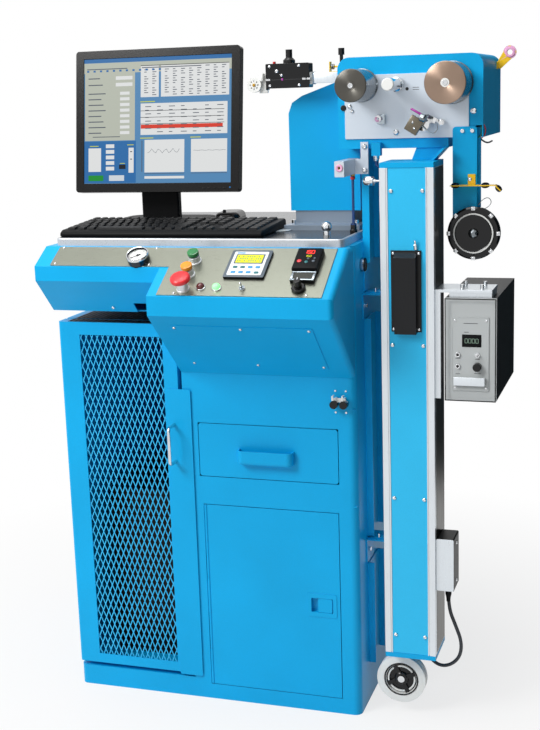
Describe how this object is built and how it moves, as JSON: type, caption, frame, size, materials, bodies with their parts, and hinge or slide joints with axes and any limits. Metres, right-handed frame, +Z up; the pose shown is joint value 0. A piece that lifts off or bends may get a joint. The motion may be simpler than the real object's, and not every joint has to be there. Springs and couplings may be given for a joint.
{
  "type": "yarn draw force tester",
  "caption": "Floor-standing draw force tester: cabinet with mesh door, drawer and sloping console, godet head on an upright, heated column with return pulley, screen and keyboard.",
  "frame": {"origin": "centre of the cabinet's underside, on the floor", "axes": "+X to the right as one faces the console, the console faces -Y, +Z up"},
  "size_m": [1.046, 0.8009, 1.5375],
  "materials": {
    "blue_enamel": "satin powder coat",
    "stainless": "brushed",
    "bright_steel": "polished",
    "dark_steel": "ground",
    "anodised_aluminium": "anodised",
    "grey_paint": "satin",
    "black_plastic": "fine grain",
    "black_gloss": "gloss",
    "white_plastic": "satin",
    "worktop_laminate": "matt",
    "green_plastic": "gloss",
    "amber_plastic": "gloss",
    "red_plastic": "gloss",
    "yellow_paint": "gloss",
    "bronze_face": "tinted",
    "cable_rubber": "matt",
    "needle_red": "matt",
    "black_metal": "satin"
  },
  "bodies": {
    "cabinet": {"cabinet_shell": "blue_enamel", "computer_tower": "black_metal", "console_housing": "blue_enamel", "control_plate": "stainless", "access_plate": "blue_enamel", "gauge_case": "bright_steel", "panel_fittings": "bright_steel", "panel_instruments": "black_plastic", "worktop_tray": "worktop_laminate", "monitor_stand": "black_plastic", "keyboard": "black_plastic", "mouse": "black_gloss", "pedestal_base": "grey_paint", "pedestal_shell": "blue_enamel", "upright_frame": "blue_enamel", "column_brackets": "stainless", "column_frame": "anodised_aluminium", "column_cover": "blue_enamel", "column_end_caps": "blue_enamel", "heater_tube": "dark_steel", "heater_cover": "black_metal", "control_box": "black_plastic", "control_cable": "cable_rubber", "head_housing": "blue_enamel", "face_plate": "grey_paint", "spindle_drives": "black_metal", "tension_sensor": "black_metal", "guide_block": "anodised_aluminium", "yarn_guides": "yellow_paint", "air_line": "dark_steel", "pretension_unit": "black_plastic", "amplifier_case": "black_metal", "amplifier_front": "grey_paint", "drop_arm": "blue_enamel", "hook_bracket": "white_plastic", "fasteners": "bright_steel"},
    "mesh_door": {"mesh_door": "blue_enamel", "door_mesh": "blue_enamel", "door_handle": "bright_steel"},
    "storage_door": {"storage_door": "blue_enamel"},
    "latch_paddle": {"latch_paddle": "bright_steel"},
    "drawer": {"drawer": "blue_enamel"},
    "gauge_needle": {"gauge_needle": "needle_red"},
    "start_button": {"start_button": "green_plastic"},
    "reset_button": {"reset_button": "amber_plastic"},
    "stop_button": {"stop_button": "red_plastic"},
    "panel_toggle": {"panel_toggle": "bright_steel"},
    "selector_knob": {"selector_knob": "black_plastic"},
    "screen": {"monitor_housing": "black_gloss"},
    "return_pulley": {"return_pulley": "white_plastic"},
    "feed_godet": {"feed_godet": "dark_steel"},
    "draw_godet": {"draw_godet": "bronze_face"},
    "separator_roller": {"separator_roller": "bright_steel"},
    "pretension_knob": {"pretension_knob": "black_plastic"},
    "guide_pulley": {"guide_pulley": "white_plastic"},
    "tension_knob": {"tension_knob": "black_plastic"},
    "amplifier_knob": {"amplifier_knob": "black_plastic"},
    "amplifier_toggle": {"amplifier_toggle": "bright_steel"},
    "pin_wheel": {"pin_wheel": "dark_steel"},
    "regulator_knob": {"regulator_knob": "black_plastic"}
  },
  "joints": [
    {"name": "mesh_door_hinge", "type": "hinge", "parent": "cabinet", "child": "mesh_door", "pos_m": [-0.3545, -0.2584, 0.5], "axis": [0, 0, -1], "range_deg": [0, 90]},
    {"name": "storage_door_hinge", "type": "hinge", "parent": "cabinet", "child": "storage_door", "pos_m": [-0.008, -0.2972, 0.265], "axis": [0, 0, -1], "range_deg": [0, 100]},
    {"name": "latch_pivot", "type": "hinge", "parent": "storage_door", "child": "latch_paddle", "pos_m": [0.2915, -0.297, 0.2655], "axis": [0, 0, 1], "range_deg": [0, 35], "stiffness_Nm_per_rad": 0.05, "springref_deg": -17.19},
    {"name": "drawer_slide", "type": "slide", "parent": "cabinet", "child": "drawer", "axis": [0, -1, 0], "range_m": [0, 0.3]},
    {"name": "gauge_sweep", "type": "hinge", "parent": "cabinet", "child": "gauge_needle", "pos_m": [-0.109, -0.38419, 1.08594], "axis": [0, 0.5145, -0.8575], "range_deg": [0, 250]},
    {"name": "start_press", "type": "slide", "parent": "cabinet", "child": "start_button", "axis": [0, 0.5145, -0.8575], "range_m": [0, 0.0035], "stiffness_N_per_m": 900, "springref_m": -0.002},
    {"name": "reset_press", "type": "slide", "parent": "cabinet", "child": "reset_button", "axis": [0, 0.5145, -0.8575], "range_m": [0, 0.0035], "stiffness_N_per_m": 900, "springref_m": -0.002},
    {"name": "stop_press", "type": "slide", "parent": "cabinet", "child": "stop_button", "axis": [0, 0.5145, -0.8575], "range_m": [0, 0.005], "stiffness_N_per_m": 1500, "springref_m": -0.002},
    {"name": "panel_toggle_flip", "type": "hinge", "parent": "cabinet", "child": "panel_toggle", "pos_m": [0.157, -0.45725, 1.02695], "axis": [-1, 0, 0], "range_deg": [0, 24]},
    {"name": "selector_turn", "type": "hinge", "parent": "cabinet", "child": "selector_knob", "pos_m": [0.28, -0.45811, 1.03227], "axis": [0, 0.5145, -0.8575], "range_deg": [0, 90]},
    {"name": "screen_tilt", "type": "hinge", "parent": "cabinet", "child": "screen", "pos_m": [-0.1895, -0.042, 1.305], "axis": [-1, 0, 0], "range_deg": [-5, 15]},
    {"name": "return_pulley_spin", "type": "hinge", "parent": "cabinet", "child": "return_pulley", "pos_m": [0.446, -0.253, 0.087], "axis": [0, 1, 0], "continuous": true},
    {"name": "feed_godet_spin", "type": "hinge", "parent": "cabinet", "child": "feed_godet", "pos_m": [0.3615, -0.26, 1.435], "axis": [0, 1, 0], "continuous": true},
    {"name": "draw_godet_spin", "type": "hinge", "parent": "cabinet", "child": "draw_godet", "pos_m": [0.5575, -0.26, 1.435], "axis": [0, 1, 0], "continuous": true},
    {"name": "separator_spin", "type": "hinge", "parent": "cabinet", "child": "separator_roller", "pos_m": [0.439, -0.26, 1.435], "axis": [0, 1, 0], "continuous": true},
    {"name": "pretension_turn", "type": "hinge", "parent": "cabinet", "child": "pretension_knob", "pos_m": [0.181, -0.15, 1.5], "axis": [0, 0, -1], "range_deg": [0, 270]},
    {"name": "guide_pulley_spin", "type": "hinge", "parent": "cabinet", "child": "guide_pulley", "pos_m": [0.1, -0.157, 1.444], "axis": [0, 1, 0], "continuous": true},
    {"name": "tension_turn", "type": "hinge", "parent": "cabinet", "child": "tension_knob", "pos_m": [0.29, -0.105, 1.5], "axis": [0, 0, -1], "range_deg": [0, 360]},
    {"name": "amplifier_turn", "type": "hinge", "parent": "cabinet", "child": "amplifier_knob", "pos_m": [0.626, -0.305, 0.843], "axis": [0, 1, 0], "range_deg": [0, 300]},
    {"name": "amplifier_flip", "type": "hinge", "parent": "cabinet", "child": "amplifier_toggle", "pos_m": [0.626, -0.299, 0.868], "axis": [1, 0, 0], "range_deg": [0, 24]},
    {"name": "pin_wheel_spin", "type": "hinge", "parent": "cabinet", "child": "pin_wheel", "pos_m": [0.605, -0.22, 1.118], "axis": [0, 1, 0], "continuous": true},
    {"name": "regulator_turn", "type": "hinge", "parent": "cabinet", "child": "regulator_knob", "pos_m": [0.364, -0.229, 1.049], "axis": [1, 0, 0], "range_deg": [0, 270]}
  ]
}
